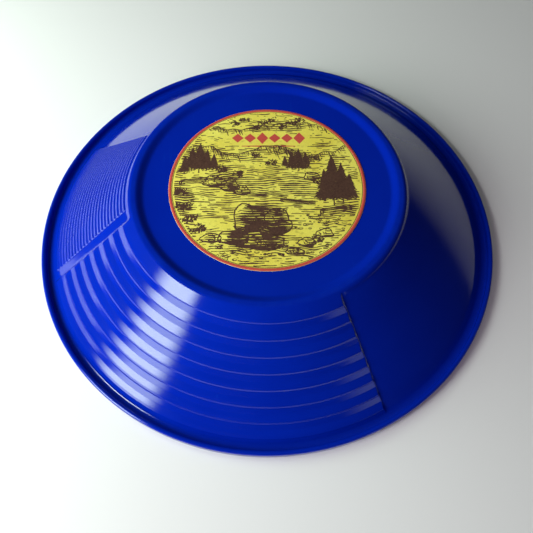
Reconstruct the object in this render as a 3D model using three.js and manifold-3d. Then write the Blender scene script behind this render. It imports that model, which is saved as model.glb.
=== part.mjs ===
// Moulded plastic gold pan with a round label, lying rim down: the base is up and the bowl opens
// downwards. Millimetres, +Z up. The origin is the centre of the rim's flat underside.
//
// The pan is one thin shell. Its outside is a disc base inside a raised foot ring, a conical wall
// and a rim with a groove and an upright lip. Two patches of riffles are moulded into the wall:
// coarse steps on one side and fine teeth next to them. The inside follows the outside at one wall
// thickness, so both patches are also in the bowl, where they catch gold.
import * as THREE from 'three'
import { mergeVertices } from 'three/addons/utils/BufferGeometryUtils.js'
import Module from 'manifold-3d'

const wasm = await Module()
wasm.setup()

const degrees = Math.PI / 180

// Driving dimensions
const RIM_RADIUS = 177.8
const PAN_HEIGHT = 63.5
const SHELL_THICKNESS = 2.4
const TURN_STEPS = 72

// Base and foot ring
const FOOT_RING_HEIGHT = 2.7
const FOOT_RING_INNER_RADIUS = 87.5
const FOOT_RING_LAND = [94.2, 95.8]
const FOOT_RING_SHOULDER = 4.6
const FOOT_RING_SHOULDER_TURN = 55 * degrees
const FOOT_RING_OUTER_RADIUS = 100.4
const BASE_TOP = PAN_HEIGHT - FOOT_RING_HEIGHT

// Wall and rim
const GROOVE_FLOOR = 2.5
const WALL_FOOT_RADIUS = 170.4
const WALL_FOOT_FILLET = 6
const LIP_WIDTH = 3.5
const LIP_TOP = 7.2
const LIP_FOOT_FILLET = 1.2
const LIP_LOWER_EDGE = 0.8
const MOUTH_EDGE = 1.2

// Riffles: height is measured straight up from the plain wall
const COARSE = {
  from: -163 * degrees,
  to: -61.3 * degrees,
  turnSteps: 20,
  firstStep: 105.8,
  firstCrest: 2.2,
  pitch: 8.8,
  steps: 8,
  crest: 1.76,
  riserHeight: 0.62,
  riserWidth: 0.35,
  valley: 0.5,
  valleyAfterStep: 3.7
}
const FINE = {
  from: 152.8 * degrees,
  to: 193.9 * degrees,
  turnSteps: 8,
  ledge: 2.5,
  firstTooth: 103.8,
  pitch: 2.84,
  teeth: 22,
  crest: 0.95,
  valley: 0.2,
  crestPlace: 0.62
}
const RIFFLE_ROOT = 1.2

// Label
const LABEL_RADIUS = 70.4
const ADHESIVE_THICKNESS = 0.13
const FILM_THICKNESS = 0.2

// Points [radius, height] along an arc; angles are measured from the outward direction
function arc(radius, height, size, from, to, steps) {
  const points = []
  for (let i = 0; i <= steps; i++) {
    const angle = from + (to - from) * i / steps
    points.push([radius + size * Math.cos(angle), height + size * Math.sin(angle)])
  }
  return points
}

// The foot ring's shoulder falls to the wall's top, and the plain wall runs straight from there
const shoulderRun = FOOT_RING_SHOULDER * Math.sin(FOOT_RING_SHOULDER_TURN)
const shoulderFall = FOOT_RING_SHOULDER * (1 - Math.cos(FOOT_RING_SHOULDER_TURN))
const footRingFlank = FOOT_RING_OUTER_RADIUS - FOOT_RING_LAND[1] - shoulderRun
const wallTop = PAN_HEIGHT - shoulderFall - Math.tan(FOOT_RING_SHOULDER_TURN) * footRingFlank
const wallFall = (wallTop - GROOVE_FLOOR) / (WALL_FOOT_RADIUS - FOOT_RING_OUTER_RADIUS)
const wallAngle = Math.atan(wallFall)
const wallDepth = SHELL_THICKNESS / Math.cos(wallAngle)
const wallHeight = radius => wallTop - wallFall * (radius - FOOT_RING_OUTER_RADIUS)

// Outline of the outside, from the axis at the rim's underside round to the axis at the base
function outsideOutline() {
  const lipRadius = LIP_WIDTH / 2
  const lipMiddle = RIM_RADIUS - lipRadius
  const filletRun = WALL_FOOT_FILLET * Math.tan(wallAngle / 2)
  return [
    [0, 0],
    [RIM_RADIUS - LIP_LOWER_EDGE, 0],
    [RIM_RADIUS, LIP_LOWER_EDGE],
    ...arc(lipMiddle, LIP_TOP - lipRadius, lipRadius, 0, Math.PI, 5),
    ...arc(
      RIM_RADIUS - LIP_WIDTH - LIP_FOOT_FILLET, GROOVE_FLOOR + LIP_FOOT_FILLET, LIP_FOOT_FILLET,
      0, -Math.PI / 2, 2
    ),
    ...arc(
      WALL_FOOT_RADIUS + filletRun, GROOVE_FLOOR + WALL_FOOT_FILLET, WALL_FOOT_FILLET,
      -Math.PI / 2, -Math.PI / 2 - wallAngle, 3
    ),
    [FOOT_RING_OUTER_RADIUS, wallTop],
    ...arc(
      FOOT_RING_LAND[1], PAN_HEIGHT - FOOT_RING_SHOULDER, FOOT_RING_SHOULDER,
      Math.PI / 2 - FOOT_RING_SHOULDER_TURN, Math.PI / 2, 3
    ),
    [FOOT_RING_LAND[0], PAN_HEIGHT],
    ...footRingRise(4, 0),
    [0, BASE_TOP]
  ]
}

// The foot ring's smooth inner slope, from its land down to the base
function footRingRise(steps, drop) {
  const points = []
  for (let i = 1; i <= steps; i++) {
    const along = i / steps
    const down = (1 - Math.cos(Math.PI * along)) / 2
    const radius = FOOT_RING_LAND[0] + (FOOT_RING_INNER_RADIUS - FOOT_RING_LAND[0]) * along
    points.push([radius, PAN_HEIGHT - drop - FOOT_RING_HEIGHT * down])
  }
  return points
}

// Outline of the bowl's hollow, which starts below the rim so that the mouth is cut open
function hollowOutline() {
  const mouthRadius = FOOT_RING_OUTER_RADIUS + (wallTop - wallDepth) / wallFall
  return [
    [0, -SHELL_THICKNESS],
    [mouthRadius + MOUTH_EDGE, -SHELL_THICKNESS],
    [mouthRadius + MOUTH_EDGE, 0],
    [mouthRadius - MOUTH_EDGE, wallFall * MOUTH_EDGE],
    [FOOT_RING_OUTER_RADIUS - SHELL_THICKNESS, wallTop + wallFall * SHELL_THICKNESS - wallDepth],
    [FOOT_RING_LAND[1], PAN_HEIGHT - SHELL_THICKNESS],
    [FOOT_RING_LAND[0], PAN_HEIGHT - SHELL_THICKNESS],
    ...footRingRise(3, SHELL_THICKNESS),
    [0, BASE_TOP - SHELL_THICKNESS]
  ]
}

// Coarse riffles: each terrace rises gently to a crest, drops in a steep riser and runs down to the
// next one's foot. The first terrace is the tallest and grows out of the foot ring's shoulder.
function coarseTop() {
  const points = [[FOOT_RING_OUTER_RADIUS - SHELL_THICKNESS, COARSE.valley]]
  for (let i = 0; i < COARSE.steps; i++) {
    const step = COARSE.firstStep + COARSE.pitch * i
    const crest = i === 0 ? COARSE.firstCrest : COARSE.crest
    points.push([step, crest])
    points.push([step + COARSE.riserWidth, crest - COARSE.riserHeight])
    if (i < COARSE.steps - 1) points.push([step + COARSE.valleyAfterStep, COARSE.valley])
  }
  points.push([WALL_FOOT_RADIUS - 0.5, 0])
  return points
}

// Fine riffles: a row of equal teeth whose outward flanks are the steeper ones, after a narrow
// ledge along the foot ring
function fineTop() {
  const crestRun = FINE.pitch * FINE.crestPlace
  const points = [
    [FINE.firstTooth - FINE.ledge, 0],
    [FINE.firstTooth + crestRun - FINE.pitch, FINE.crest]
  ]
  for (let i = 0; i < FINE.teeth; i++) {
    const valley = FINE.firstTooth + FINE.pitch * i
    points.push([valley, FINE.valley])
    points.push([valley + crestRun, FINE.crest])
  }
  points.push([FINE.firstTooth + FINE.pitch * FINE.teeth, FINE.valley])
  return points
}

// A patch's closed outline: its top over the wall, and a root below the wall that joins it there.
// The same patch, lowered by the shell's depth, is cut out of the bowl.
function patchOutline(top, lowered) {
  const inner = top[0][0]
  const outer = top[top.length - 1][0]
  const surface = top.map(([radius, rise]) => [radius, wallHeight(radius) + rise - lowered])
  return [
    [inner, wallHeight(inner) - RIFFLE_ROOT - lowered],
    [outer, wallHeight(outer) - RIFFLE_ROOT - lowered],
    ...surface.reverse()
  ]
}

// Manifold solid of a closed three.js geometry
function solid(geometry) {
  geometry.deleteAttribute('normal')
  geometry.deleteAttribute('uv')
  const merged = mergeVertices(geometry, 1e-5)
  return new wasm.Manifold(new wasm.Mesh({
    numProp: 3,
    vertProperties: new Float32Array(merged.attributes.position.array),
    triVerts: new Uint32Array(merged.index.array)
  }))
}

// Full turn of an outline that starts and ends on the axis, turned upright to +Z
function turned(outline) {
  const points = outline.map(([radius, height]) => new THREE.Vector2(radius, height))
  return solid(new THREE.LatheGeometry(points, TURN_STEPS).rotateX(Math.PI / 2))
}

// Part turn of a closed outline, with a flat face at each end
function sector(outline, from, to, steps) {
  const count = outline.length
  const positions = []
  const triangles = []
  for (let i = 0; i <= steps; i++) {
    const azimuth = from + (to - from) * i / steps
    for (const [radius, height] of outline) {
      positions.push(radius * Math.cos(azimuth), radius * Math.sin(azimuth), height)
    }
  }
  for (let i = 0; i < steps; i++) {
    for (let j = 0; j < count; j++) {
      const here = i * count + j
      const next = i * count + (j + 1) % count
      triangles.push(here, here + count, next, next, here + count, next + count)
    }
  }
  const last = steps * count
  const face = outline.map(([radius, height]) => new THREE.Vector2(radius, height))
  for (const [a, b, c] of THREE.ShapeUtils.triangulateShape(face, [])) {
    triangles.push(a, b, c)
    triangles.push(last + a, last + c, last + b)
  }
  const geometry = new THREE.BufferGeometry()
  geometry.setAttribute('position', new THREE.Float32BufferAttribute(positions, 3))
  geometry.setIndex(triangles)
  return solid(geometry)
}

function riffles(lowered) {
  const coarse = patchOutline(coarseTop(), lowered)
  const fine = patchOutline(fineTop(), lowered)
  return sector(coarse, COARSE.from, COARSE.to, COARSE.turnSteps)
    .add(sector(fine, FINE.from, FINE.to, FINE.turnSteps))
}

function panBody() {
  const outside = turned(outsideOutline()).add(riffles(0))
  const hollow = turned(hollowOutline()).add(riffles(wallDepth))
  const mesh = outside.subtract(hollow).getMesh()
  const geometry = new THREE.BufferGeometry()
  geometry.setAttribute('position', new THREE.Float32BufferAttribute(mesh.vertProperties, 3))
  geometry.setIndex([...mesh.triVerts])
  geometry.computeVertexNormals()
  const plastic = new THREE.MeshStandardMaterial({ color: 0x0420a0, roughness: 0.25, metalness: 0 })
  return named('pan_body', geometry, plastic)
}

// A flat disc of the label, standing on the given height
function labelDisc(name, bottom, thickness, material) {
  const disc = new THREE.CylinderGeometry(LABEL_RADIUS, LABEL_RADIUS, thickness, TURN_STEPS)
  disc.rotateX(Math.PI / 2)
  disc.translate(0, 0, bottom + thickness / 2)
  return named(name, disc, material)
}

function named(name, geometry, material) {
  const mesh = new THREE.Mesh(geometry, material)
  mesh.name = name
  return mesh
}

const glue = new THREE.MeshStandardMaterial({ color: 0xd8d6c8, roughness: 0.5, metalness: 0 })
const print = new THREE.MeshStandardMaterial({ color: 0xc9b650, roughness: 0.4, metalness: 0 })

const pan = new THREE.Group()
pan.add(panBody())
pan.add(labelDisc('label_adhesive', BASE_TOP, ADHESIVE_THICKNESS, glue))
pan.add(labelDisc('label_film', BASE_TOP + ADHESIVE_THICKNESS, FILM_THICKNESS, print))

export default pan
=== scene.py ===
"""Looks of a moulded plastic gold pan that lies rim down, with a round printed label on its base."""

import math
import random

import bpy
import numpy as np
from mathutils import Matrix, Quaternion, Vector, noise

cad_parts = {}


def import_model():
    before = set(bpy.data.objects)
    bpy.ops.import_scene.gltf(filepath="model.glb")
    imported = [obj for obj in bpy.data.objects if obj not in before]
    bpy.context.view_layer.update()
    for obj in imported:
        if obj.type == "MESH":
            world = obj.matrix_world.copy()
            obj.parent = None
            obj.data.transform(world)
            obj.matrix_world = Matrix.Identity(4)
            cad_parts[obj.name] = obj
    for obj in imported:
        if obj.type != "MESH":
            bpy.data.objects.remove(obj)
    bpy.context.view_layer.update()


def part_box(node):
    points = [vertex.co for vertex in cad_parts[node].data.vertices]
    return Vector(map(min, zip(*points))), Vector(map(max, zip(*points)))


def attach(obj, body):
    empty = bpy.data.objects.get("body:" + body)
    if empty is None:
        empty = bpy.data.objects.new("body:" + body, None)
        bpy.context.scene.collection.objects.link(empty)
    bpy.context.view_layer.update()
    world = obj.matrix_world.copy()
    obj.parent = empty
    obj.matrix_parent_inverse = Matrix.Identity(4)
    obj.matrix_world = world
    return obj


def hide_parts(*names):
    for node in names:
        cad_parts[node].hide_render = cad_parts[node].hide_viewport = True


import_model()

# Driving dimensions in millimetres: the overall ones come from the frame
MM = 0.001
RIM_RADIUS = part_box("pan_body")[1].x / MM
PAN_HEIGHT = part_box("pan_body")[1].z / MM
BASE_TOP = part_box("label_adhesive")[0].z / MM
FILM_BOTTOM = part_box("label_film")[0].z / MM
FILM_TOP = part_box("label_film")[1].z / MM
LABEL_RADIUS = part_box("label_film")[1].x / MM
SHELL = 2.4

# Foot ring round the base
RING_INNER = 87.5
RING_LAND = (94.2, 95.8)
RING_SHOULDER = 4.6
RING_SHOULDER_TURN = math.radians(55)
RING_OUTER = 100.4
SHOULDER_MIDDLE = 30

# Wall, groove and lip
GROOVE_FLOOR = 2.5
WALL_FOOT = 170.4
WALL_FOOT_FILLET = 6.0
LIP_WIDTH = 3.5
LIP_TOP = 7.2
LIP_FOOT_FILLET = 1.2
LIP_LOWER_EDGE = 0.8
MOUTH_EDGE = 1.2

# Riffles: azimuths in degrees, heights measured straight up from the plain wall
COARSE_FROM = 197.0
COARSE_TO = 298.7
COARSE_FIRST_STEP = 105.8
COARSE_PITCH = 8.8
COARSE_STEPS = 8
COARSE_FIRST_CREST = 2.2
COARSE_CREST = 1.76
COARSE_SHOULDER = 1.5
COARSE_SHOULDER_DROP = 0.12
RISER_WIDTH = 0.35
RISER_HEIGHT = 0.62
COARSE_VALLEY = 0.5
COARSE_VALLEY_AFTER_STEP = 3.7
FINE_FROM = 152.8
FINE_END_LINE = 197.96
FINE_END_OFFSET = 9.8
FINE_FIRST_TOOTH = 103.8
FINE_PITCH = 2.84
FINE_TEETH = 22
FINE_CREST_PLACE = 0.62
FINE_CREST = 0.95
FINE_VALLEY = 0.1
FINE_LAST_VALLEY = 0.3
FINE_LEDGE_TO_CREST = 1.4
FINE_LEDGE_HEIGHT = -0.15

# Slopes of the riffle patches' four edges, in degrees
FINE_START_SLOPE = 35
FINE_END_SLOPE = 46
COARSE_START_SLOPE = 36
COARSE_END_SLOPE = 46

# Fineness of the pan's skin
COLUMN_TURN = math.radians(1.25)
WALL_POINTS = 150
BOWL_POINTS = 60
EDGE_COLUMNS = 8
MELT_COLUMNS = 6
LABEL_COLUMNS = 240

# Taller than any riffle, so that it cuts none
NO_LIMIT = 9.0

shoulder_run = RING_SHOULDER * math.sin(RING_SHOULDER_TURN)
shoulder_fall = RING_SHOULDER * (1 - math.cos(RING_SHOULDER_TURN))
ring_flank = RING_OUTER - RING_LAND[1] - shoulder_run
WALL_TOP = PAN_HEIGHT - shoulder_fall - math.tan(RING_SHOULDER_TURN) * ring_flank
WALL_FALL = (WALL_TOP - GROOVE_FLOOR) / (WALL_FOOT - RING_OUTER)
WALL_ANGLE = math.atan(WALL_FALL)
WALL_DEPTH = SHELL / math.cos(WALL_ANGLE)
MOUTH_RADIUS = RING_OUTER + (WALL_TOP - WALL_DEPTH) / WALL_FALL
FILLET_MIDDLE = WALL_FOOT + WALL_FOOT_FILLET * math.tan(WALL_ANGLE / 2)


def wall_height(radius):
    return WALL_TOP - WALL_FALL * (radius - RING_OUTER)


# ---------------------------------------------------------------- mesh tools


def new_mesh(name, points, faces, smooth=True):
    """A mesh object from points in millimetres."""
    mesh = bpy.data.meshes.new(name)
    mesh.from_pydata([tuple(c * MM for c in p) for p in points], [], faces)
    mesh.validate()
    if smooth:
        mesh.shade_smooth()
    else:
        mesh.shade_flat()
    piece = bpy.data.objects.new(name, mesh)
    bpy.context.scene.collection.objects.link(piece)
    return piece


def dress(piece, material, slot, *nodes):
    """Gives a piece its material and its place in the frame."""
    piece.data.materials.clear()
    piece.data.materials.append(material)
    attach(piece, "root")
    if nodes:
        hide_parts(*nodes)


def arc(radius, height, size, start, end, steps):
    """Points along an arc; angles in radians from the outward direction."""
    turns = [start + (end - start) * i / steps for i in range(steps + 1)]
    return [(radius + size * math.cos(t), height + size * math.sin(t)) for t in turns]


def rounded(corners):
    """An outline through corners (radius, height, reach before, reach after, steps), each softened
    by a curve that starts and ends at its reach from the corner, measured along the radius."""
    points = [corners[0][:2]]
    for before, corner, after in zip(corners, corners[1:], corners[2:]):
        r, h, reach_in, reach_out, steps = corner
        share_in = reach_in / (r - before[0])
        share_out = reach_out / (after[0] - r)
        start = (r - reach_in, h + (before[1] - h) * share_in)
        end = (r + reach_out, h + (after[1] - h) * share_out)
        for i in range(steps + 1):
            t = i / steps
            weights = ((1 - t) ** 2, 2 * t * (1 - t), t * t)
            curve = zip(start, (r, h), end)
            points.append(tuple(sum(w * c for w, c in zip(weights, axis)) for axis in curve))
    points.append(corners[-1][:2])
    return points


def filled(points, count):
    """The same outline with its longest stretches halved until it has this many points."""
    points = list(points)
    while len(points) < count:
        gaps = [b[0] - a[0] for a, b in zip(points, points[1:])]
        i = gaps.index(max(gaps))
        middle = tuple((a + b) / 2 for a, b in zip(points[i], points[i + 1]))
        points.insert(i + 1, middle)
    return points


def turned(name, outline, columns):
    """Full turn of an outline that starts and ends on the axis."""
    inner = outline[1:-1]
    points = [(0, 0, outline[0][1]), (0, 0, outline[-1][1])]
    for i in range(columns):
        turn = 2 * math.pi * i / columns
        points += [(r * math.cos(turn), r * math.sin(turn), z) for r, z in inner]
    return new_mesh(name, points, turned_faces(columns, len(inner)))


def turned_faces(columns, rows):
    """Faces of a closed skin whose points are two poles, then the rows of each column."""
    faces = []
    for i in range(columns):
        here = 2 + i * rows
        there = 2 + (i + 1) % columns * rows
        faces.append((0, here, there))
        faces += [(here + j, here + j + 1, there + j + 1, there + j) for j in range(rows - 1)]
        faces.append((here + rows - 1, 1, there + rows - 1))
    return faces


def ring(name, inner, outer, bottom, top, columns, edge):
    """A flat ring with softened edges."""
    outline = [(inner, bottom), (inner, top - edge), (inner + edge, top)]
    outline += [(outer - edge, top), (outer, top - edge), (outer, bottom)]
    rows = len(outline)
    points = []
    for i in range(columns):
        turn = 2 * math.pi * i / columns
        points += [(r * math.cos(turn), r * math.sin(turn), z) for r, z in outline]
    faces = []
    for i in range(columns):
        here = i * rows
        there = (i + 1) % columns * rows
        for j in range(rows):
            k = (j + 1) % rows
            faces.append((here + j, there + j, there + k, here + k))
    return new_mesh(name, points, faces)


# ---------------------------------------------------------------- the pan's skin


def shoulder(start, end, steps):
    """Part of the foot ring's outer shoulder; its slope turns from start to end, in degrees."""
    turns = (math.radians(90 - start), math.radians(90 - end))
    return arc(RING_LAND[1], PAN_HEIGHT - RING_SHOULDER, RING_SHOULDER, *turns, steps)


def base_and_ring():
    """The recessed base and the foot ring, from the axis out to the middle of its shoulder."""
    points = [(r, BASE_TOP) for r in (0, 24, 46, 62, 70, 76, 81, 84.5, 86.5)]
    slope = 12
    for i in range(slope + 1):
        rise = (1 - math.cos(math.pi * i / slope)) / 2
        r = RING_INNER + (RING_LAND[0] - RING_INNER) * i / slope
        points.append((r, BASE_TOP + (PAN_HEIGHT - BASE_TOP) * rise))
    points.append((sum(RING_LAND) / 2, PAN_HEIGHT))
    return points + shoulder(0, SHOULDER_MIDDLE - 5, 5)


def over_wall(points):
    """Points (radius, height) as (radius, height over the plain wall)."""
    return [(r, z - wall_height(r)) for r, z in points]


def wall_fillet():
    """The fillet at the wall's foot, from the plain wall down to the groove's floor."""
    down = -math.pi / 2
    height = GROOVE_FLOOR + WALL_FOOT_FILLET
    return arc(FILLET_MIDDLE, height, WALL_FOOT_FILLET, down - WALL_ANGLE, down, 7)


def plain_top():
    """The ring's steep flank, its foot, and the plain wall."""
    flank = over_wall(shoulder(SHOULDER_MIDDLE, math.degrees(RING_SHOULDER_TURN), 4))
    fillet = over_wall(wall_fillet()[:3])
    foot = rounded([flank[-1], (RING_OUTER, 0, 0.5, 0.9, 3), fillet[0]])
    return flank + foot[1:] + fillet[1:]


def coarse_top():
    """Coarse riffles: each terrace rises gently and rounds over to a crest, drops in a steep riser
    and runs down a steeper facet to the next one's foot. The first one leans on the foot ring."""
    start = over_wall(shoulder(SHOULDER_MIDDLE, SHOULDER_MIDDLE, 1))[0]
    corners = [start]
    for i in range(COARSE_STEPS):
        step = COARSE_FIRST_STEP + COARSE_PITCH * i
        crest = COARSE_FIRST_CREST if i == 0 else COARSE_CREST
        corners.append((step - COARSE_SHOULDER, crest - COARSE_SHOULDER_DROP, 0.7, 0.7, 2))
        corners.append((step, crest, 0.3, 0.13, 3))
        corners.append((step + RISER_WIDTH, crest - RISER_HEIGHT, 0.13, 0.3, 3))
        if i < COARSE_STEPS - 1:
            corners.append((step + COARSE_VALLEY_AFTER_STEP, COARSE_VALLEY, 0.4, 0.4, 3))
    corners.append(over_wall(wall_fillet())[2])
    return rounded(corners)


def fine_top():
    """Fine riffles: equal teeth whose outward flanks are the steeper ones. The first one leaves a
    narrow ledge along the foot ring."""
    flank = over_wall(shoulder(SHOULDER_MIDDLE, math.degrees(RING_SHOULDER_TURN), 4))
    crest = FINE_FIRST_TOOTH + FINE_PITCH * FINE_CREST_PLACE
    first_crest = crest - FINE_PITCH
    corners = [flank[-1], (first_crest - FINE_LEDGE_TO_CREST, FINE_LEDGE_HEIGHT, 0.3, 0.4, 2)]
    corners.append((first_crest, FINE_CREST, 0.4, 0.3, 2))
    for i in range(FINE_TEETH):
        valley = FINE_FIRST_TOOTH + FINE_PITCH * i
        corners.append((valley, FINE_VALLEY, 0.3, 0.36, 2))
        corners.append((crest + FINE_PITCH * i, FINE_CREST, 0.4, 0.3, 2))
    end = FINE_FIRST_TOOTH + FINE_PITCH * FINE_TEETH
    corners.append((end, FINE_LAST_VALLEY, 0.3, 0.6, 2))
    fillet = over_wall(wall_fillet()[:3])
    corners.append(fillet[0])
    return flank[:-1] + rounded(corners) + fillet[1:]


def groove_and_lip():
    """From the wall's foot through the groove, over the lip and under the rim to the mouth."""
    lip = LIP_WIDTH / 2
    groove_edge = RIM_RADIUS - LIP_WIDTH - LIP_FOOT_FILLET
    down = -math.pi / 2
    points = wall_fillet()[3:]
    lip_foot = GROOVE_FLOOR + LIP_FOOT_FILLET
    points += arc(groove_edge, lip_foot, LIP_FOOT_FILLET, down, 0, 4)
    points += arc(RIM_RADIUS - lip, LIP_TOP - lip, lip, math.pi, 0, 12)
    points.append((RIM_RADIUS, 3))
    points += arc(RIM_RADIUS - LIP_LOWER_EDGE, LIP_LOWER_EDGE, LIP_LOWER_EDGE, 0, down, 4)
    mouth = MOUTH_RADIUS + MOUTH_EDGE
    points += [(RIM_RADIUS - 2.5, 0), (mouth + 0.6, 0), (mouth, 0.06)]
    points += [(MOUTH_RADIUS, 0.45), (MOUTH_RADIUS - 0.6, 0.62)]
    return points


def bowl_ring():
    """The bowl's floor as seen from below, from the ring's hollow in to the axis."""
    points = [(RING_LAND[1], PAN_HEIGHT - SHELL), (RING_LAND[0], PAN_HEIGHT - SHELL)]
    slope = 8
    for i in range(1, slope + 1):
        fall = (1 - math.cos(math.pi * i / slope)) / 2
        r = RING_LAND[0] + (RING_INNER - RING_LAND[0]) * i / slope
        points.append((r, PAN_HEIGHT - SHELL - (PAN_HEIGHT - BASE_TOP) * fall))
    points += [(r, BASE_TOP - SHELL) for r in (78, 60, 36, 0)]
    return points


def bowl_top(top):
    """The same riffles inside the bowl, from its mouth in to the ring, ending flush at the mouth."""
    mouth = MOUTH_RADIUS - MOUTH_EDGE
    inside = [p for p in top if RING_OUTER + 1 < p[0] < mouth - 0.4]
    kept = [(RING_OUTER - SHELL, 0)]
    for r, h in inside:
        if h == 0 or r - kept[-1][0] > 0.3:
            kept.append((r, h))
    kept.append((mouth, 0))
    thinned = thin(kept, BOWL_POINTS)
    return filled(thinned, BOWL_POINTS)[::-1]


def thin(points, count):
    """The outline with its least telling points left out until it has at most this many."""
    points = list(points)
    while len(points) > count:
        bends = []
        for a, b, c in zip(points, points[1:], points[2:]):
            share = (b[0] - a[0]) / (c[0] - a[0])
            bends.append(abs(b[1] - a[1] - (c[1] - a[1]) * share))
        points.pop(bends.index(min(bends)) + 1)
    return points


def sector(top):
    """What a column of one sector is made of: radii and heights over the wall, outside and in the
    bowl."""
    return {"outside": np.array(filled(top, WALL_POINTS)), "bowl": np.array(bowl_top(top))}


def heights(own, plain, side, limit):
    """Heights over the wall where a riffle patch stands out from the wall by no more than a limit."""
    radius, full = own[side].T
    bare = np.interp(radius, *plain[side][np.argsort(plain[side][:, 0])].T)
    return bare + np.clip(full - bare, -limit, limit)


def mix(a, b, share):
    """A sector between two others."""
    return {key: a[key] * (1 - share) + b[key] * share for key in a}


def edges(coarse, fine):
    """The four edges of the riffle patches in order of azimuth. Each has its azimuth as a function
    of the radius, its slope in degrees, the greatest height it cuts, the sector it belongs to, and
    whether the patch starts or ends there."""

    def fine_end(radius):
        return math.radians(FINE_END_LINE) - np.arcsin(FINE_END_OFFSET / radius)

    def at(degrees):
        return lambda radius: np.full_like(radius, math.radians(degrees))

    return [
        (at(FINE_FROM), FINE_START_SLOPE, FINE_CREST, fine, True),
        (fine_end, FINE_END_SLOPE, FINE_CREST, fine, False),
        (at(COARSE_FROM), COARSE_START_SLOPE, COARSE_FIRST_CREST, coarse, True),
        (at(COARSE_TO), COARSE_END_SLOPE, COARSE_FIRST_CREST, coarse, False),
    ]


def edge_columns(edge):
    """Columns across one edge, each with its azimuths, its sector and its limit on the height."""
    place, slope, tallest, own, starts = edge
    columns = []
    for i in range(EDGE_COLUMNS + 1):
        limit = tallest * i / EDGE_COLUMNS
        offset = limit / math.tan(math.radians(slope)) * (1 if starts else -1)

        def azimuth(radius, offset=offset):
            radius = np.clip(radius, RING_OUTER, WALL_FOOT)
            return place(radius) + offset / radius

        columns.append((azimuth, own, limit))
    return columns if starts else columns[::-1]


def pan_columns(coarse, fine, plain):
    """Every column of the pan's skin in order of azimuth. In the last gap, the plain wall, the
    riffles of each side melt into it over a few columns."""
    ramps = [edge_columns(edge) for edge in edges(coarse, fine)]
    full = NO_LIMIT
    between = [(fine, fine, full), (fine, coarse, 0), (coarse, coarse, full), (coarse, fine, 0)]
    plain_gap = len(between) - 1
    middle_radius = np.array([(RING_OUTER + WALL_FOOT) / 2])
    columns = []
    for i, (first, last, limit) in enumerate(between):
        columns += ramps[i]
        start = ramps[i][-1][0]
        end = ramps[(i + 1) % len(ramps)][0][0]
        full_turn = 2 * math.pi if i == plain_gap else 0
        gap = float(end(middle_radius)[0] + full_turn - start(middle_radius)[0])
        count = max(2, round(gap / COLUMN_TURN))
        for k in range(1, count):
            share = k / count

            def azimuth(radius, share=share, start=start, end=end, full_turn=full_turn):
                return start(radius) * (1 - share) + (end(radius) + full_turn) * share

            own = mix(first, last, share)
            if i == plain_gap:
                near = min(share, 1 - share) * count / MELT_COLUMNS
                own = mix(first if share < 0.5 else last, plain, min(1, near))
            columns.append((azimuth, own, limit))
    return columns


def pan_shell():
    """The whole moulding as one closed skin."""
    head = np.array(base_and_ring())
    rim = np.array(groove_and_lip())
    floor = np.array(bowl_ring())
    coarse = sector(coarse_top())
    fine = sector(fine_top())
    plain = sector(plain_top())
    rows = []
    for azimuth, own, limit in pan_columns(coarse, fine, plain):
        outside = own["outside"][:, 0]
        bowl = own["bowl"][:, 0]
        wall = wall_height(outside) + heights(own, plain, "outside", limit)
        inner = wall_height(bowl) - WALL_DEPTH + heights(own, plain, "bowl", limit)
        wall = np.stack([outside, wall], 1)
        inner = np.stack([bowl, inner], 1)
        column = np.concatenate([head[1:], wall, rim, inner, floor[:-1]])
        turn = azimuth(np.maximum(column[:, 0], 1))
        x = column[:, 0] * np.cos(turn)
        y = column[:, 0] * np.sin(turn)
        rows.append(np.stack([x, y, column[:, 1]], 1))
    poles = [(0, 0, head[0][1]), (0, 0, floor[-1][1])]
    points = poles + [tuple(p) for p in np.concatenate(rows).tolist()]
    shell = new_mesh("pan_shell", points, turned_faces(len(rows), len(rows[0])))
    weighted = shell.modifiers.new("even_normals", "WEIGHTED_NORMAL")
    weighted.weight = 60
    return shell


# ---------------------------------------------------------------- the label

BORDER_INNER = 68.3
BORDER_OUTER = LABEL_RADIUS - 0.1
RULE_INNER = BORDER_INNER - 0.65
RULE_OUTER = BORDER_INNER - 0.2
PICTURE_RADIUS = BORDER_INNER - 0.9
INK_THICKNESS = 0.02
INK_EDGE = 0.01


class Ink:
    """Printed ink: thin closed strokes that lie on the film."""

    def __init__(self, seed):
        self.random = random.Random(seed)
        self.points = []
        self.faces = []

    def stroke(self, path, width, ends=0.3):
        """A line along path, thinner towards its ends; the part outside the picture is left out."""
        path = [p for p in path if math.hypot(*p) < PICTURE_RADIUS]
        last = len(path) - 1
        swell = [math.sin(math.pi * (i + 0.35) / (last + 0.7)) for i in range(len(path))]
        self.line(path, [width * (ends + (1 - ends) * s) for s in swell])

    def line(self, path, widths):
        """A line along path with a width at each point."""
        if len(path) < 2:
            return
        top = FILM_TOP + INK_THICKNESS * self.random.uniform(0.75, 1)
        first = len(self.points)
        last = len(path) - 1
        for i, (x, y) in enumerate(path):
            ax, ay = path[max(0, i - 1)]
            bx, by = path[min(last, i + 1)]
            length = math.hypot(bx - ax, by - ay) or 1
            nx = -(by - ay) / length * widths[i] / 2
            ny = (bx - ax) / length * widths[i] / 2
            for z in (FILM_TOP, top):
                self.points.append((x + nx, y + ny, z))
                self.points.append((x - nx, y - ny, z))
        for i in range(last):
            a = first + 4 * i
            b = a + 4
            self.faces += [(a, a + 1, b + 1, b), (a + 2, b + 2, b + 3, a + 3)]
            self.faces += [(a, b, b + 2, a + 2), (a + 1, a + 3, b + 3, b + 1)]
        end = first + 4 * last
        self.faces += [(first, first + 2, first + 3, first + 1), (end, end + 1, end + 3, end + 2)]

    def piece(self, name):
        return new_mesh(name, self.points, self.faces, smooth=False)


def wander(x, y, reach, seed):
    """Smooth unevenness between about -reach and reach."""
    return reach * 1.6 * noise.noise(Vector((x * 0.11, y * 0.11, seed)))


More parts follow.
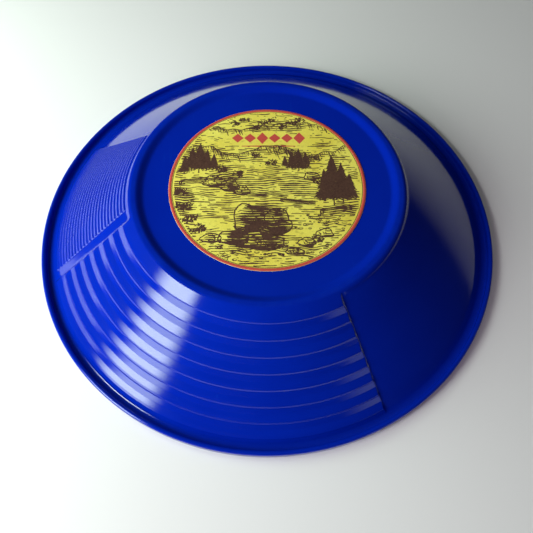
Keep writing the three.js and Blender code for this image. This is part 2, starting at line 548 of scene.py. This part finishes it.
def line_between(x0, x1, height, spacing):
    """A hand-drawn line from x0 to x1, whose height follows a function of x."""
    count = max(2, round((x1 - x0) / spacing))
    xs = [x0 + (x1 - x0) * i / count for i in range(count + 1)]
    return [(x, height(x)) for x in xs]


def patch(x, y, place, size):
    """1 in the middle part of an ellipse, falling to 0 at its uneven edge."""
    far = math.hypot((x - place[0]) / size[0], (y - place[1]) / size[1])
    far += 0.3 * noise.noise(Vector((x * 0.16, y * 0.16, place[0])))
    return min(1, max(0, 3 * (1 - far)))


# Dark and light places of the picture: (middle, half size, how much darker)
PATCHES = (
    ((-52, 24), (11, 10), 0.55),
    ((-30, 6), (13, 9), 0.3),
    ((-2, -31), (19, 16), 0.75),
    ((-8, -46), (24, 9), 0.55),
    ((22, 20), (10, 7), 0.45),
    ((49, 4), (8, 20), 0.35),
    ((-58, -16), (8, 15), 0.35),
    ((52, -22), (15, 3.5), 0.5),
    ((2, -3), (42, 13), 0.22),
    ((8, 53), (30, 6), 0.3),
    ((9, -27), (7, 4), -0.5),
    ((30, -40), (16, 8), -0.3),
    ((-40, -34), (14, 5), -0.3),
    ((1, 41), (34, 8), -0.6),
)


def darkness(x, y):
    """How dark the picture is at a place, from 0 to 1."""
    streaks = noise.noise(Vector((x * 0.085, y * 0.3, 4)))
    grain = noise.noise(Vector((x * 0.33, y * 0.6, 9)))
    dark = 0.27 + 0.5 * streaks + 0.45 * grain
    dark += sum(amount * patch(x, y, place, size) for place, size, amount in PATCHES)
    return dark - 0.12 * min(1, max(0, (y - 30) / 10))


def hatching():
    """Engraver's lines over the whole picture: a line is as thick as its place is dark, and stops
    where it is light."""
    ink = Ink(29)
    gap = 1.75
    step = 1.3
    lightest = 0.16
    y = -PICTURE_RADIUS + 1
    while y < PICTURE_RADIUS - 1:
        reach = math.sqrt(PICTURE_RADIUS ** 2 - y * y) - 1
        run = []
        for i in range(int(2 * reach / step) + 1):
            x = -reach + step * i
            level = y + wander(x, y, 1.1, 3)
            dark = darkness(x, level)
            if dark > lightest and math.hypot(x, level) < PICTURE_RADIUS:
                run.append((x, level, gap * min(0.88, 0.12 + 0.8 * dark)))
            else:
                ink.line([p[:2] for p in run], [p[2] for p in run])
                run = []
        ink.line([p[:2] for p in run], [p[2] for p in run])
        y += gap * ink.random.uniform(0.85, 1.15)
    return ink.piece("label_hatching")


def ridge(ink, x0, x1, height, depth, width):
    """A hill's outline with slanting hatches down its shaded side."""
    ink.stroke(line_between(x0, x1, height, 1.2), width * 1.3, 0.6)
    x = x0
    while x < x1:
        slope = height(x + 0.8) - height(x - 0.8)
        long = depth * ink.random.uniform(0.4, 1) * (1.2 if slope < 0 else 0.4)
        lean = ink.random.uniform(0.15, 0.5)
        path = [(x + lean * long * t, height(x) - long * t) for t in (0, 0.35, 0.7, 1)]
        ink.stroke(path, width * ink.random.uniform(0.7, 1.2))
        x += ink.random.uniform(0.6, 1.3) * (1 if slope < 0 else 1.7)


def pine(ink, x, y, tall, width):
    """A conifer: a trunk and drooping tiers of short needles."""
    ink.stroke([(x, y - tall * 0.08), (x, y + tall * 0.5), (x, y + tall)], width * 2, 0.5)
    tiers = max(5, round(tall / 0.95))
    for i in range(tiers):
        up = i / tiers
        reach = tall * 0.27 * (1 - up) ** 0.85 * ink.random.uniform(0.75, 1.15) + 0.35
        base = y + tall * (0.1 + 0.88 * up)
        for side in (-1, 1):
            droop = tall * 0.07 * ink.random.uniform(0.7, 1.4)
            tip = (x + side * reach, base - droop)
            middle = (x + side * reach * 0.5, base - droop * 0.25)
            ink.stroke([(x, base + 0.2), middle, tip], width * ink.random.uniform(1.3, 2.1), 0.35)
            under = (x + side * reach * 0.7, base - droop - 0.6)
            ink.stroke([(x + side * 0.2, base - 0.4), under], width * 1.3)


def shrub(ink, x, y, size, leaves, width):
    """A bush: many small leaves in rounded clumps, darker underneath."""
    clumps = [(ink.random.uniform(-0.7, 0.7), ink.random.uniform(-0.4, 0.55)) for _ in range(8)]
    for _ in range(leaves):
        cx, cy = ink.random.choice(clumps)
        turn = ink.random.uniform(0, 2 * math.pi)
        far = 0.42 * math.sqrt(ink.random.random())
        px = x + size * (cx + far * math.cos(turn))
        py = y + size * (cy + far * math.sin(turn)) * 0.85
        lean = ink.random.uniform(-1.3, 1.3)
        long = ink.random.uniform(0.6, 1.6)
        tip = (px + long * math.sin(lean), py + long * math.cos(lean))
        bend = ink.random.uniform(-0.35, 0.35)
        middle = ((px + tip[0]) / 2 + bend, (py + tip[1]) / 2)
        thick = width * (1.6 if math.sin(turn) < 0.1 else 0.9) * ink.random.uniform(0.7, 1.3)
        ink.stroke([(px, py), middle, tip], thick, 0.5)


def boulder(ink, x, y, wide, tall, width, shade):
    """A rock: an uneven outline, hatching that starts at its lit side's edge, and some cracks. A
    shade of 0 leaves it unhatched and 1 hatches it all."""
    seed = ink.random.uniform(0, 50)

    def rim(turn):
        uneven = 1 + 0.35 * noise.noise(Vector((math.cos(turn) * 1.5, math.sin(turn) * 1.5, seed)))
        flat = 0.5 if math.sin(turn) < 0 else 1
        return x + wide * uneven * math.cos(turn), y + tall * uneven * flat * math.sin(turn)

    around = [rim(2 * math.pi * i / 24) for i in range(25)]
    ink.stroke(around[:14], width * 1.2, 0.7)
    ink.stroke(around[13:], width * 1.8, 0.7)
    rows = max(4, round(tall * 1.5 / (width * 1.25)))
    for i in range(rows):
        turn = math.pi * (0.5 - (i + 0.5) / rows)
        right = rim(turn)
        left = rim(math.pi - turn)
        level = (left[1] + right[1]) / 2
        cut = shade + 0.3 * noise.noise(Vector((i * 0.35, seed, 1))) + ink.random.uniform(-0.08, 0.08)
        start = right[0] + (left[0] - right[0]) * min(0.97, max(0.08, cut))
        sag = ink.random.uniform(0.1, 0.5)
        path = []
        for t in (0, 0.25, 0.5, 0.75, 1):
            drop = sag * math.sin(math.pi * t)
            path.append((start + (right[0] - start) * t, level - drop + wander(t * 20, i, 0.25, 8)))
        ink.stroke(path, width * ink.random.uniform(0.9, 1.5), 0.45)
    for _ in range(4):
        cx = x + wide * ink.random.uniform(-0.7, 0.3)
        cy = y + tall * ink.random.uniform(0, 0.7)
        step = wide * 0.14
        ink.stroke([(cx, cy), (cx + step, cy - step * 1.3), (cx + step * 0.7, cy - step * 2.4)], width)


def log(ink, x0, y0, x1, y1, thick, width):
    """A fallen trunk: bark lines along it, and an end with rings."""
    along = (0, 0.3, 0.6, 1)
    lines = max(4, round(thick / (width * 1.3)))
    for i in range(lines):
        across = thick * (i / (lines - 1) - 0.5)
        ys = [y0 + (y1 - y0) * t + across + wander(t * 30, across, 0.3, 13) for t in along]
        xs = [x0 + (x1 - x0) * t for t in along]
        ink.stroke(list(zip(xs, ys)), width * (0.8 + i / lines), 0.5)
    for size in (0.5, 0.28):
        turns = [2 * math.pi * i / 12 for i in range(13)]
        loop = [(x0 + thick * size * 0.5 * math.cos(t), y0 + thick * size * math.sin(t)) for t in turns]
        ink.stroke(loop, width * 0.8, 0.8)


def pebbles(ink, count, x0, x1, y0, y1):
    """Small stones with a shaded underside."""
    for _ in range(count):
        x = ink.random.uniform(x0, x1)
        y = ink.random.uniform(y0, y1)
        size = ink.random.uniform(0.7, 1.9)
        turns = [math.pi * (1.05 + 0.95 * i / 6) for i in range(7)]
        under = [(x + size * math.cos(t), y + size * 0.55 * math.sin(t)) for t in turns]
        over = [(x + size * math.cos(t), y - size * 0.45 * math.sin(t)) for t in turns]
        ink.stroke(under, 0.75, 0.4)
        ink.stroke(over, 0.35, 0.5)


def engraving():
    """The label's picture in brown: hills, pines, boulders, shrubs, fallen logs and pebbles."""
    ink = Ink(11)
    ridge(ink, -54, 60, lambda x: 54 + 4 * math.sin(x / 13) + wander(x, 0, 3, 1), 5, 0.7)
    ridge(ink, -62, 30, lambda x: 31 + 4 * math.sin(x / 9 + 1) + wander(x, 0, 2, 2), 7, 0.7)
    ridge(ink, 4, 64, lambda x: 30 + 5 * math.sin(x / 11 + 2) + wander(x, 0, 2, 4), 8, 0.7)
    for i in range(8):
        shrub(ink, -24 + 7 * i, 56 + 4 * math.sin(i * 2.1), 4.4, 46, 0.75)
    for x, y, tall in ((-60, 10, 15), (-55, 13, 20), (-49.5, 12, 25), (-44, 13, 18), (-39, 15, 12)):
        pine(ink, x, y, tall, 0.6)
    for x, y, tall in ((13, 16, 9), (18, 14, 15), (23, 13, 19), (28, 14, 14)):
        pine(ink, x, y, tall, 0.55)
    for x, y, tall in ((41, -13, 26), (47, -15, 41), (53.5, -14, 33), (59, -12, 21)):
        pine(ink, x, y, tall, 0.65)
    for x, y, size in ((-60, -8, 6), (-59, -19, 7.5), (-55, -29, 7), (-48, -38, 6), (-34, 13, 6)):
        shrub(ink, x, y, size, 110, 0.8)
    for x, y, size in ((-22, 8, 5), (35, 22, 6), (-8, 24, 5), (3, 19, 4.5), (34, -46, 5), (38, 2, 5)):
        shrub(ink, x, y, size, 70, 0.75)
    for x, y, wide, tall in ((-38, 1, 8, 6), (-27, -3, 7, 6), (-18, -7, 6, 4.5), (32, 6, 6, 4)):
        boulder(ink, x, y, wide, tall, 0.75, 0.7)
    for x, y, wide, tall in ((-12, -32, 11, 17), (5, -36, 13, 13), (-22, -46, 11, 8), (-3, -50, 15, 7)):
        boulder(ink, x, y, wide, tall, 0.9, 0.8)
    for x, y, wide, tall in ((27, -49, 6, 4), (39, -42, 6, 4), (19, -56, 6, 3), (-38, -46, 7, 4.5)):
        boulder(ink, x, y, wide, tall, 0.75, 0.65)
    log(ink, 38, -24, 64, -20, 4.6, 0.8)
    log(ink, -62, 1, -42, 4, 3.6, 0.75)
    log(ink, 10, -14, 34, -17, 2.6, 0.7)
    pebbles(ink, 80, -34, 44, -62, -47)
    pebbles(ink, 40, 12, 60, -38, -26)
    return ink.piece("label_engraving")


def ornament():
    """A plain divider in red: a row of lozenges over a thin rule."""
    ink = Ink(5)
    pitch = 9.2
    level = 42
    half_width = 4.3
    for place in range(-2, 4):
        x = 1 + pitch * (place - 0.5)
        tall = 8.5 if place % 3 else 11
        ink.line([(x - half_width, level), (x, level), (x + half_width, level)], [0.3, tall, 0.3])
    ink.stroke([(x, 34.4) for x in range(-19, 22, 2)], 1.2, 0.5)
    return ink.piece("label_ornament")


def ink_ring(name, inner, outer):
    """A printed ring round the picture."""
    top = FILM_TOP + INK_THICKNESS
    return ring(name, inner, outer, FILM_TOP, top, LABEL_COLUMNS, INK_EDGE)


def label_film():
    """The printed film: flat, with a softly rounded cut edge."""
    edge = 0.09
    rim = arc(LABEL_RADIUS - edge, FILM_TOP - edge, edge, math.pi / 2, 0, 4)
    radii = (0, 12, 24, 36, 48, 58, 66, 69.5)
    outline = [(r, FILM_TOP) for r in radii] + rim
    outline += [(LABEL_RADIUS - 0.04, FILM_BOTTOM), (60, FILM_BOTTOM), (0, FILM_BOTTOM)]
    return turned("label_film_print", outline, LABEL_COLUMNS)


def label_glue():
    """The adhesive, with a slightly bulging edge."""
    middle = (BASE_TOP + FILM_BOTTOM) / 2
    bulge = (FILM_BOTTOM - BASE_TOP) / 2
    edge = arc(LABEL_RADIUS - bulge, middle, bulge, math.pi / 2, -math.pi / 2, 6)
    outline = [(0, FILM_BOTTOM), (40, FILM_BOTTOM)] + edge + [(40, BASE_TOP), (0, BASE_TOP)]
    return turned("label_glue_layer", outline, LABEL_COLUMNS)


# ---------------------------------------------------------------- materials


class Nodes:
    """A material under construction."""

    def __init__(self, name):
        self.material = bpy.data.materials.new(name)
        self.material.use_nodes = True
        self.tree = self.material.node_tree
        self.shader = self.tree.nodes["Principled BSDF"]

    def add(self, kind, **inputs):
        """A node with its inputs set to values or linked to sockets."""
        node = self.tree.nodes.new(kind)
        for key, value in inputs.items():
            self.connect(value, node.inputs[key.replace("_", " ")])
        return node

    def connect(self, value, socket):
        if isinstance(value, bpy.types.NodeSocket):
            self.tree.links.new(value, socket)
        else:
            socket.default_value = value

    def place(self, stretch=(1, 1, 1)):
        """Object coordinates, stretched."""
        coordinates = self.add("ShaderNodeTexCoord").outputs["Object"]
        mapping = self.add("ShaderNodeMapping", Vector=coordinates)
        mapping.inputs["Scale"].default_value = stretch
        return mapping.outputs["Vector"]

    def noise(self, scale, detail=3, stretch=(1, 1, 1)):
        """Noise; scale is in waves per metre."""
        texture = self.add(
            "ShaderNodeTexNoise", Vector=self.place(stretch), Scale=scale, Detail=detail
        )
        return texture.outputs["Fac"]

    def band(self, value, low, high, to_low=0.0, to_high=1.0):
        """Maps a stretch of a value to another, clamped."""
        node = self.add("ShaderNodeMapRange", Value=value)
        node.inputs["From Min"].default_value = low
        node.inputs["From Max"].default_value = high
        node.inputs["To Min"].default_value = to_low
        node.inputs["To Max"].default_value = to_high
        return node.outputs["Result"]

    def blend(self, share, a, b):
        """A colour between a and b."""
        node = self.tree.nodes.new("ShaderNodeMix")
        node.data_type = "RGBA"
        self.connect(share, node.inputs["Factor"])
        for socket, colour in ((node.inputs[6], a), (node.inputs[7], b)):
            self.connect(colour if isinstance(colour, bpy.types.NodeSocket) else (*colour, 1), socket)
        return node.outputs[2]

    def math(self, operation, a, b):
        node = self.tree.nodes.new("ShaderNodeMath")
        node.operation = operation
        self.connect(a, node.inputs[0])
        self.connect(b, node.inputs[1])
        return node.outputs["Value"]

    def bump(self, height, distance, strength, after=None):
        node = self.add("ShaderNodeBump", Height=height, Distance=distance, Strength=strength)
        if after is not None:
            self.connect(after, node.inputs["Normal"])
        return node.outputs["Normal"]

    def finish(self, **inputs):
        for key, value in inputs.items():
            self.connect(value, self.shader.inputs[key.replace("_", " ")])
        return self.material


def pan_plastic():
    """Glossy royal blue polypropylene: faint flow marks, fine scuffs and a rubbed foot ring."""
    m = Nodes("royal_blue_plastic")
    flow = m.noise(14, 4, (1, 1, 2.5))
    blue = m.blend(m.band(flow, 0.3, 0.7), (0.0003, 0.012, 0.32), (0.0005, 0.015, 0.36))
    scuffs = m.band(m.noise(420, 2, (1, 0.06, 1)), 0.66, 0.8)
    cross_scuffs = m.band(m.noise(380, 2, (0.06, 1, 1)), 0.68, 0.82)
    scuffed = m.math("MAXIMUM", scuffs, cross_scuffs)
    patchy = m.band(m.noise(30, 3), 0.48, 0.7)
    scuffed = m.math("MULTIPLY", scuffed, patchy)
    height = m.add("ShaderNodeSeparateXYZ", Vector=m.place()).outputs["Z"]
    foot = m.band(height, (PAN_HEIGHT - 0.35) * MM, PAN_HEIGHT * MM)
    rubbed = m.math("MULTIPLY", foot, m.band(m.noise(160, 4), 0.4, 0.75))
    worn = m.math("MAXIMUM", m.math("MULTIPLY", scuffed, 0.35), m.math("MULTIPLY", rubbed, 0.12))
    colour = m.blend(worn, blue, (0.004, 0.045, 0.45))
    roughness = m.band(m.noise(55, 5), 0.3, 0.7, 0.07, 0.1)
    roughness = m.math("ADD", roughness, m.math("MULTIPLY", worn, 0.3))
    peel = m.bump(m.noise(160, 2), 0.00002, 0.4)
    grain = m.bump(m.noise(2600, 2), 0.000003, 0.4, peel)
    marks = m.bump(scuffed, -0.00001, 0.6, grain)
    return m.finish(Base_Color=colour, Roughness=roughness, Normal=marks, IOR=1.49)


def print_film():
    """Satin printed film: warm yellow with fine grain, dark flecks and slow tone changes."""
    m = Nodes("yellow_print")
    tone = m.noise(38, 4)
    yellow = m.blend(m.band(tone, 0.32, 0.68), (0.82, 0.63, 0.085), (0.93, 0.78, 0.15))
    grain = m.band(m.noise(1500, 2), 0.35, 0.75)
    yellow = m.blend(m.math("MULTIPLY", grain, 0.22), yellow, (0.36, 0.22, 0.05))
    fleck = m.band(m.noise(420, 5, (0.5, 1, 1)), 0.58, 0.7)
    yellow = m.blend(m.math("MULTIPLY", fleck, 0.3), yellow, (0.2, 0.1, 0.03))
    roughness = m.band(m.noise(90, 3), 0.3, 0.7, 0.3, 0.42)
    ripple = m.bump(m.noise(60, 2), 0.00008, 0.4)
    paper = m.bump(m.noise(1800, 3), 0.00001, 0.5, ripple)
    return m.finish(Base_Color=yellow, Roughness=roughness, Normal=paper, IOR=1.45)


def printed_ink(name, dark, light, gaps):
    """Ink that prints a little unevenly."""
    m = Nodes(name)
    patchy = m.band(m.noise(700, 4), 0.3, 0.75)
    slow = m.band(m.noise(60, 2), 0.3, 0.7)
    colour = m.blend(patchy, dark, light)
    colour = m.blend(m.math("MULTIPLY", slow, gaps), colour, light)
    roughness = m.band(m.noise(500, 2), 0.3, 0.7, 0.32, 0.48)
    film = m.bump(m.noise(1800, 3), 0.000008, 0.5)
    return m.finish(Base_Color=colour, Roughness=roughness, Normal=film, IOR=1.45)


def glue():
    """Pale adhesive with dust in it."""
    m = Nodes("label_adhesive_edge")
    dust = m.band(m.noise(900, 3), 0.4, 0.7)
    colour = m.blend(dust, (0.62, 0.60, 0.52), (0.30, 0.29, 0.26))
    roughness = m.band(m.noise(300, 2), 0.3, 0.7, 0.4, 0.6)
    lumps = m.bump(m.noise(700, 3), 0.00002, 0.6)
    return m.finish(Base_Color=colour, Roughness=roughness, Normal=lumps)


# ---------------------------------------------------------------- studio

FLOOR_REACH = 12000
BACKGROUND_SEEN = 0.9
BACKGROUND_LIGHT = 0.012
GREENISH = (0.93, 1.07, 0.96)

# Where the camera stands and what it looks at, in metres
CAMERA_LENS = 38.1
CAMERA_ELEVATION = math.radians(62.08)
CAMERA_DISTANCE = 0.4409
CAMERA_AIM = Vector((-0.00049, -0.03447, 0))


def floor():
    """A wide plain pale floor, whose paint is a little pink as most lights are a little green."""
    size = FLOOR_REACH
    points = [(-size, -size, 0), (size, -size, 0), (size, size, 0), (-size, size, 0)]
    plane = new_mesh("studio_floor", points, [(0, 1, 2, 3)], smooth=False)
    m = Nodes("floor_paint")
    pale = m.blend(m.noise(3, 2), (0.81, 0.72, 0.785), (0.83, 0.74, 0.805))
    plane.data.materials.append(m.finish(Base_Color=pale, Roughness=0.9))


def fade_sides(data, left, right):
    """Lets a softbox fade out towards its sides, over these shares of its width."""
    data.use_nodes = True
    tree = data.node_tree
    emission = tree.nodes["Emission"]
    place = tree.nodes.new("ShaderNodeSeparateXYZ")
    geometry = tree.nodes.new("ShaderNodeNewGeometry")
    tree.links.new(geometry.outputs["Parametric"], place.inputs["Vector"])
    product = tree.nodes.new("ShaderNodeMath")
    product.operation = "MULTIPLY"
    for i, (dark, full) in enumerate(((0, left), (1, 1 - right))):
        side = tree.nodes.new("ShaderNodeMapRange")
        side.interpolation_type = "SMOOTHSTEP"
        side.inputs["From Min"].default_value = dark
        side.inputs["From Max"].default_value = full
        tree.links.new(place.outputs["X"], side.inputs["Value"])
        tree.links.new(side.outputs["Result"], product.inputs[i])
    tree.links.new(product.outputs["Value"], emission.inputs["Strength"])


def softbox(
    name, azimuth, elevation, distance, size, brightness, slant=0, shift=(0, 0), seen=True, tint=GREENISH
):
    """An area light that faces the pan from a direction in degrees, moved sideways and up by its
    shift and leaning by its slant. Its brightness is its radiance. The camera never sees it, and
    with seen set to False reflections don't either."""
    a = math.radians(azimuth)
    e = math.radians(elevation)
    away = Vector((math.cos(a) * math.cos(e), math.sin(a) * math.cos(e), math.sin(e)))
    turn = away.to_track_quat("Z", "Y")
    data = bpy.data.lights.new(name, "AREA")
    data.shape = "RECTANGLE"
    data.size, data.size_y = size
    data.energy = brightness * math.pi * size[0] * size[1]
    data.color = tint
    light = bpy.data.objects.new(name, data)
    light.location = away * distance + turn @ Vector((*shift, 0))
    light.rotation_mode = "QUATERNION"
    light.rotation_quaternion = turn @ Quaternion((0, 0, 1), math.radians(slant))
    light.visible_camera = False
    light.visible_glossy = seen
    bpy.context.scene.collection.objects.link(light)
    return data


def world():
    """The background: pale to the camera, and nearly dark as a light."""
    w = bpy.data.worlds.new("studio")
    w.use_nodes = True
    bpy.context.scene.world = w
    tree = w.node_tree
    path = tree.nodes.new("ShaderNodeLightPath")
    strength = tree.nodes.new("ShaderNodeMapRange")
    strength.inputs["To Min"].default_value = BACKGROUND_LIGHT
    strength.inputs["To Max"].default_value = BACKGROUND_SEEN
    background = tree.nodes["Background"]
    background.inputs["Color"].default_value = (0.97, 0.98, 1, 1)
    tree.links.new(path.outputs["Is Camera Ray"], strength.inputs["Value"])
    tree.links.new(strength.outputs["Result"], background.inputs["Strength"])


def camera():
    """Looks down at the pan from the front."""
    data = bpy.data.cameras.new("camera")
    data.sensor_width = 36
    data.lens = CAMERA_LENS
    data.clip_start = 0.01
    eye = bpy.data.objects.new("camera", data)
    back = Vector((0, -math.cos(CAMERA_ELEVATION), math.sin(CAMERA_ELEVATION)))
    eye.location = CAMERA_AIM + back * CAMERA_DISTANCE
    eye.rotation_mode = "QUATERNION"
    eye.rotation_quaternion = back.to_track_quat("Z", "Y")
    bpy.context.scene.collection.objects.link(eye)
    bpy.context.scene.camera = eye
    bpy.context.scene.view_settings.view_transform = "Standard"


camera()
world()
floor()
key_upper = softbox("key_upper", -147, 22, 1.0, (0.5, 0.45), 14.5, 15.6, (-0.05, 0.24))
fade_sides(key_upper, 0.4, 0.25)
key_lower = softbox("key_lower", -147, 22, 1.0, (0.5, 0.43), 6.2, 15.6, (0.07, -0.19))
fade_sides(key_lower, 0.4, 0.25)
softbox("side_fill", 177, 27, 0.7, (0.5, 0.5), 5.9, seen=False, tint=(0.9, 1.2, 0.96))
softbox("top_fill", 90, 85, 1.6, (1.2, 1.2), 0.6, seen=False)
softbox("front_fill", -110, 25, 1.6, (0.8, 0.8), 2.2, seen=False, tint=(1, 0.75, 1))
window = softbox("window", -52, 8, 1.5, (0.6, 0.24), 0.75)
fade_sides(window, 0.7, 0.1)

brown = printed_ink("brown_ink", (0.05, 0.021, 0.02), (0.11, 0.05, 0.036), 0.35)
red = printed_ink("red_ink", (0.52, 0.055, 0.05), (0.6, 0.085, 0.07), 0.4)
dress(pan_shell(), pan_plastic(), "pan_plastic", "pan_body")
dress(label_glue(), glue(), "label_glue", "label_adhesive")
dress(label_film(), print_film(), "label_print", "label_film")
dress(ink_ring("label_border", BORDER_INNER, BORDER_OUTER), red, "label_print")
dress(ink_ring("label_rule", RULE_INNER, RULE_OUTER), brown, "label_print")
dress(hatching(), brown, "label_print")
dress(engraving(), brown, "label_print")
dress(ornament(), red, "label_print")
